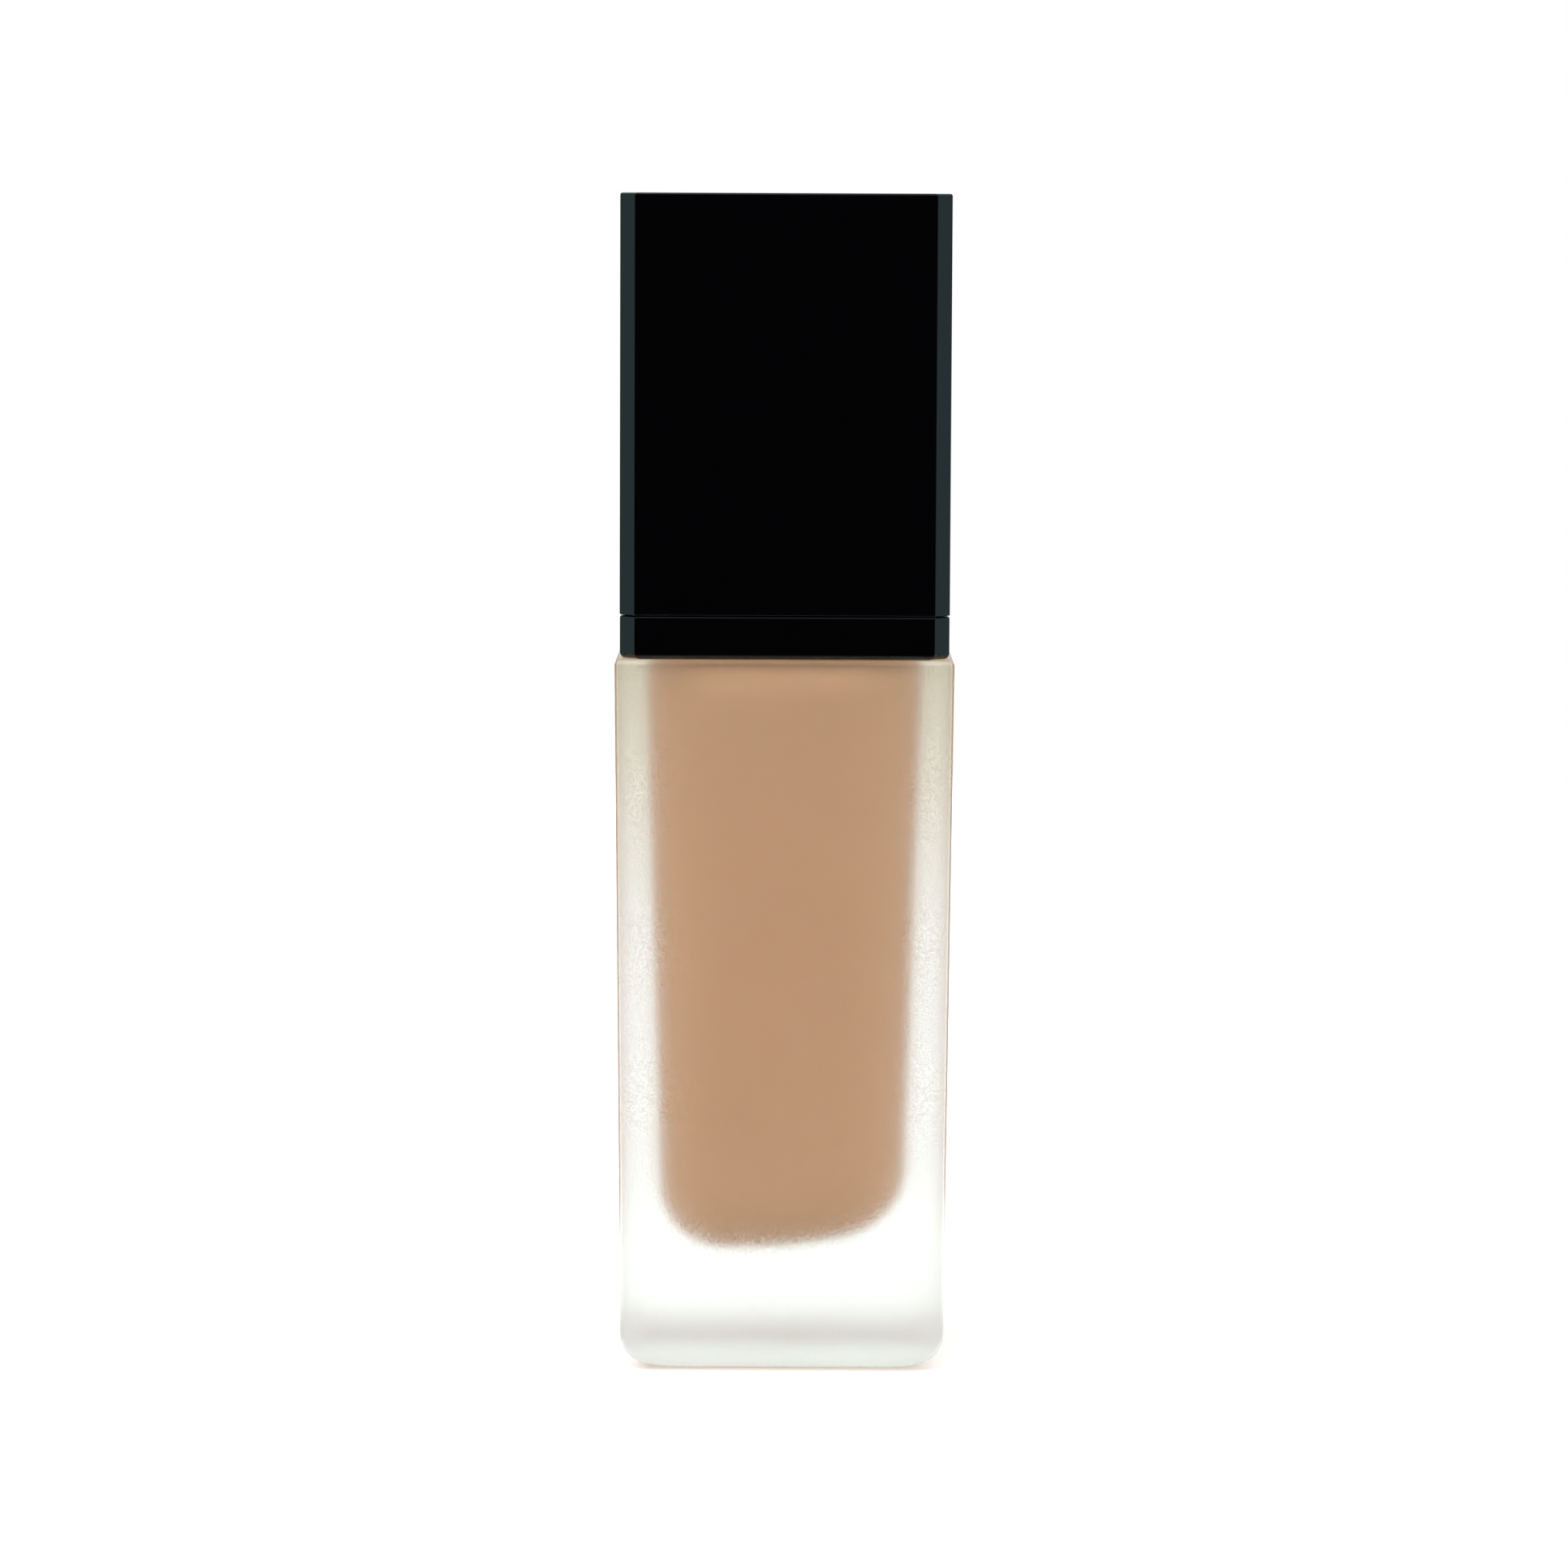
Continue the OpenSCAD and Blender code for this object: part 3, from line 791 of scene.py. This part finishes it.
def build_button_core():
    """The button's core: a socket on the stem, a plate under the cover, and the hollow spout."""
    r = high("actuator_core", 0)
    boss, socket, plate = 3.6, 2.03, 1.4
    cap = settings("bottle_cap")
    plastic = moulded_polypropylene("Black polypropylene core", cap.inner, linear("202022"), 0.45)
    hub = [
        (0, STEM_TOP + FIT, 0, "round"),
        (socket, STEM_TOP + FIT, 0.1, "round"),
        (socket, CORE_FOOT, 0.2, "round"),
        (boss, CORE_FOOT, 0.2, "round"),
        (boss, CORE_TOP - plate, 0.4, "round"),
        (r, CORE_TOP - plate, 0.2, "round"),
        (r, CORE_TOP, 0.2, "round"),
        (0, CORE_TOP, 0, "round"),
    ]
    points, directions = turned(hub)
    core = skin("button_core", points, directions)
    finish_piece(core, "button", "black_plastic", plastic, "actuator_core")
    spout, seat, channel = 2.6, 1.8, 1.0
    seat_end = SPOUT_END - 2.4
    cover = high("actuator_cover", 0)
    tube = [
        (channel, boss, 0.1, "round"),
        (spout, boss, 0.1, "round"),
        (spout, cover - 0.6, 0.1, "round"),
        (spout + 0.35, cover - 0.2, 0.2, "round"),
        (spout, cover + 0.5, 0.4, "round"),
        (spout, SPOUT_END, 0.3, "round"),
        (seat, SPOUT_END, 0.1, "round"),
        (seat, seat_end, 0.1, "round"),
        (channel, seat_end, 0.1, "round"),
    ]
    points, directions = turned(tube, closed=True)
    points, directions = forward(points, SPOUT_AXIS), forward(directions, 0)
    spout_piece = skin("button_spout", points, directions, along=True)
    return finish_piece(spout_piece, "button", "black_plastic", plastic)


def build_nozzle():
    """The nozzle insert: a stepped bush with a lip and a rounded outlet."""
    hole, bush, lip = 0.7, 1.75, 2.2
    end = SPOUT_END
    back, front = end - 2.38, end + 0.4
    corners = [
        (hole, back, 0.05, "round"),
        (bush, back, 0.15, "round"),
        (bush, end, 0.05, "round"),
        (lip, end, 0.08, "round"),
        (lip, front, 0.15, "round"),
        (1.15, front, 0.2, "round"),
        (hole, end - 0.1, 0.2, "round"),
    ]
    points, directions = turned(corners, closed=True)
    points, directions = forward(points, SPOUT_AXIS), forward(directions, 0)
    piece = skin("nozzle_bush", points, directions, along=True)
    cap = settings("bottle_cap")
    plastic = moulded_polypropylene(
        "Natural polypropylene bush", cap.natural, linear("c7c6c0"), 0.35)
    return finish_piece(piece, "button", "natural_plastic", plastic, "nozzle_insert")


def build_spring():
    """The spring: a round wire carried along a helix with one flat turn at each end.

    A point is ((R + w cos b) cos a, (R + w cos b) sin a, z(a) + w sin b), where a runs round the
    coil and b round the wire of radius w. z(a) rises by 2 w in each end turn, evenly between.
    """
    wire, turns, sides = 0.275, 6, 16
    foot, head = low("return_spring") + wire, high("return_spring") - wire
    coil = high("return_spring", 0) - wire
    a = np.linspace(0, turns, turns * 48 + 1)
    rise = np.interp(a, [0, 1, turns - 1, turns], [foot, foot + 2 * wire, head - 2 * wire, head])
    b = np.linspace(0, 2 * math.pi, sides, endpoint=False)
    a = a[:, None] * 2 * math.pi
    out = coil + wire * np.cos(b)
    points = np.stack([out * np.cos(a), out * np.sin(a), rise[:, None] + wire * np.sin(b)], 2)
    ends = points[[0, -1]].mean(1, keepdims=True).repeat(sides, axis=1)
    piece = skin("coil_spring", np.concatenate([ends[:1], points, ends[1:]])[:, ::-1])
    finish_piece(piece, "bottle_and_pump", "steel", drawn_steel(), "return_spring")
    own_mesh(piece)
    return piece


def dress_pump():
    """Materials for the CAD nodes that stay: the pump's inner parts."""
    cap = settings("bottle_cap")
    natural = moulded_polypropylene("Natural polypropylene", cap.natural, linear("c7c6c0"), 0.4)
    soft = moulded_polypropylene("Soft polyethylene", linear("d6d5d0"), linear("cecdc8"), 0.5)
    steel = drawn_steel()
    finishes = {
        natural: ["snap_closure", "pump_housing", "stem_guide", "ball_cage", "piston_rod",
                  "upper_stem"],
        soft: ["piston"],
        steel: ["inlet_ball"],
        extruded_polyethylene(): ["dip_tube"],
        moulded_elastomer(): ["neck_gasket"],
    }
    for material, nodes in finishes.items():
        for node in nodes:
            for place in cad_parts[node].material_slots:
                place.link = "OBJECT"
                place.material = material


# ---------------------------------------------------------------------------------------------
# Stage
# ---------------------------------------------------------------------------------------------

def build_world():
    """A white studio: white to the eye and through glass.

    What the gloss mirrors is a ramp of y, dark in front and pale behind, under a soft light above.
    """
    world = bpy.data.worlds.new("Soft white studio")
    bpy.context.scene.world = world
    world.use_nodes = True
    tree = world.node_tree
    tree.nodes.clear()
    light = add(tree, "ShaderNodeLightPath")
    direction = add(tree, "ShaderNodeTexCoord").outputs["Generated"]
    axes = add(tree, "ShaderNodeSeparateXYZ", {"Vector": direction})
    side = settings("bottle_studio").side
    depth = add(tree, "ShaderNodeMapRange", {
        "Value": axes.outputs["Y"], "From Min": -1, "From Max": 1})
    mirrored = add(tree, "ShaderNodeValToRGB", {"Fac": depth.outputs["Result"]})
    ramp = mirrored.color_ramp
    ramp.elements[0].position, ramp.elements[0].color = 0.06, (0.004, 0.004, 0.005, 1)
    ramp.elements[1].position, ramp.elements[1].color = 1.0, (1, 1, 1, 1)
    middle = ramp.elements.new(0.42)
    middle.color = (*side, 1)
    after = ramp.elements.new(0.7)
    after.color = (*side, 1)
    behind = add(tree, "ShaderNodeMath", {
        0: light.outputs["Is Diffuse Ray"], 1: light.outputs["Is Transmission Ray"],
    }, operation="MAXIMUM")
    white = add(tree, "ShaderNodeMix", {
        0: behind.outputs[0], 6: (1, 1, 1, 1), 7: (1.05, 1.07, 1.09, 1),
    }, data_type="RGBA")
    above = add(tree, "ShaderNodeMapRange", {
        "Value": axes.outputs["Z"], "From Min": 0.55, "From Max": 0.85,
    }, interpolation_type="SMOOTHSTEP")
    canopy = add(tree, "ShaderNodeMix", {
        0: above.outputs["Result"], 6: mirrored.outputs["Color"], 7: (0.8, 0.85, 0.87, 1),
    }, data_type="RGBA")
    outside = add(tree, "ShaderNodeMath", {
        0: light.outputs["Is Glossy Ray"], 1: light.outputs["Is Transmission Ray"],
    }, operation="SUBTRACT", use_clamp=True)
    seen = add(tree, "ShaderNodeMix", {
        0: outside.outputs[0], 6: white.outputs[2], 7: canopy.outputs[2],
    }, data_type="RGBA")
    glow = add(tree, "ShaderNodeBackground", {"Color": seen.outputs[2], "Strength": 1.0})
    add(tree, "ShaderNodeOutputWorld", {"Surface": glow.outputs[0]})


def build_floor():
    """The floor: a round sheet of background paper, as rings of points about the axis."""
    reach = 600
    rings = np.linspace(0, reach, 13)[::-1]
    a = np.linspace(0, 2 * math.pi, 96, endpoint=False)
    points = np.stack([
        rings[:, None] * np.cos(a), rings[:, None] * np.sin(a), np.zeros((len(rings), len(a)))], 2)
    floor = skin("paper_floor", points)
    floor.data.materials.append(studio_paper())
    # The gloss mirrors the studio instead, so no edge of the paper shows in it
    floor.visible_glossy = False


def build_camera():
    """The camera, level with the top of the overcap and looking a little down at the middle."""
    studio = settings("bottle_studio")
    data = bpy.data.cameras.new("Camera")
    data.sensor_width = 36
    data.lens = studio.lens
    data.clip_start = 0.01
    camera = bpy.data.objects.new("Camera", data)
    bpy.context.scene.collection.objects.link(camera)
    camera.location = (0, -studio.distance * math.cos(studio.pitch),
                       studio.aim + studio.distance * math.sin(studio.pitch))
    tilt = Matrix.Rotation(math.pi / 2 - studio.pitch, 3, "X")
    camera.rotation_euler = (tilt @ Matrix.Rotation(studio.roll, 3, "Z")).to_euler()
    bpy.context.scene.camera = camera


def build_lights():
    """Soft boxes that model the piece without standing in the gloss."""
    for name, place, size, power in (
        ("Key box", (-0.45, -0.55, 0.55), 0.5, 3.0),
        ("Fill box", (0.55, -0.45, 0.35), 0.5, 1.5),
    ):
        data = bpy.data.lights.new(name, "AREA")
        data.shape = "SQUARE"
        data.size = size
        data.energy = power
        lamp = bpy.data.objects.new(name, data)
        bpy.context.scene.collection.objects.link(lamp)
        lamp.location = place
        aim = Vector((0, 0, 0.06)) - lamp.location
        lamp.rotation_euler = aim.to_track_quat("-Z", "Y").to_euler()
        lamp.visible_glossy = False


def build_stage():
    """Floor, world, lights, camera and how light is followed through the thick glass."""
    build_world()
    build_floor()
    build_lights()
    build_camera()
    scene = bpy.context.scene
    scene.view_settings.view_transform = "Standard"
    scene.view_settings.look = "None"
    scene.cycles.use_denoising = True
    scene.cycles.max_bounces = 24
    scene.cycles.transmission_bounces = 20
    scene.cycles.glossy_bounces = 8
    scene.cycles.diffuse_bounces = 4
    scene.cycles.blur_glossy = 0.5


# ---------------------------------------------------------------------------------------------
# Operators and panel
# ---------------------------------------------------------------------------------------------

class BottleStep(bpy.types.Operator):
    """A step that builds one piece or group, and raises if it can't."""
    bl_options = {"REGISTER", "UNDO"}
    makers = ()

    def execute(self, context):
        for maker in self.makers:
            maker()
        return {"FINISHED"}


class BOTTLE_OT_glass(BottleStep):
    """Build the frosted glass bottle"""
    bl_idname, bl_label, makers = "bottle.glass", "Glass Bottle", (build_bottle,)


class BOTTLE_OT_liquid(BottleStep):
    """Build the liquid foundation that wets the cavity"""
    bl_idname, bl_label, makers = "bottle.liquid", "Liquid Foundation", (build_liquid,)


class BOTTLE_OT_collar(BottleStep):
    """Build the square collar and its round sleeve"""
    bl_idname, bl_label, makers = "bottle.collar", "Square Collar", (build_collar,)


class BOTTLE_OT_overcap(BottleStep):
    """Build the overcap's shell and its liner"""
    bl_idname, bl_label, makers = "bottle.overcap", "Overcap", (build_overcap, build_liner)


class BOTTLE_OT_button(BottleStep):
    """Build the button's cover, core, spout and nozzle"""
    bl_idname, bl_label = "bottle.button", "Finger Button"
    makers = (build_button_cover, build_button_core, build_nozzle)


class BOTTLE_OT_spring(BottleStep):
    """Build the return spring as one fixed coil"""
    bl_idname, bl_label, makers = "bottle.spring", "Return Spring", (build_spring,)


class BOTTLE_OT_pump(BottleStep):
    """Give the pump's inner parts their materials"""
    bl_idname, bl_label, makers = "bottle.pump", "Pump Finishes", (dress_pump,)


class BOTTLE_OT_stage(BottleStep):
    """Set up the floor, the studio and the camera"""
    bl_idname, bl_label, makers = "bottle.stage", "Stage", (build_stage,)


GROUPS = {"bottle_glass": BottleGlass, "bottle_cap": BottleCap, "bottle_studio": BottleStudio}
STEPS = (
    BOTTLE_OT_glass, BOTTLE_OT_liquid, BOTTLE_OT_collar, BOTTLE_OT_overcap, BOTTLE_OT_button,
    BOTTLE_OT_spring, BOTTLE_OT_pump, BOTTLE_OT_stage,
)


class BOTTLE_PT_panel(bpy.types.Panel):
    """Steps and settings of the bottle."""
    bl_label = "Foundation Bottle"
    bl_space_type = "VIEW_3D"
    bl_region_type = "UI"
    bl_category = "Bottle"

    def draw(self, context):
        for step in STEPS:
            self.layout.operator(step.bl_idname)
        for name, group in GROUPS.items():
            box = self.layout.box()
            for key in group.__annotations__:
                box.prop(getattr(context.scene, name), key)


def register():
    """Registers the settings, the steps and the panel."""
    for name, group in GROUPS.items():
        bpy.utils.register_class(group)
        setattr(bpy.types.Scene, name, bpy.props.PointerProperty(type=group))
    for item in (*STEPS, BOTTLE_PT_panel):
        bpy.utils.register_class(item)


def unregister():
    """Removes what register() added."""
    for item in (BOTTLE_PT_panel, *reversed(STEPS)):
        bpy.utils.unregister_class(item)
    for name, group in GROUPS.items():
        delattr(bpy.types.Scene, name)
        bpy.utils.unregister_class(group)


def main():
    """Builds every piece in order."""
    register()
    for step in STEPS:
        group, name = step.bl_idname.split(".")
        getattr(getattr(bpy.ops, group), name)()


if __name__ == "__main__":
    main()
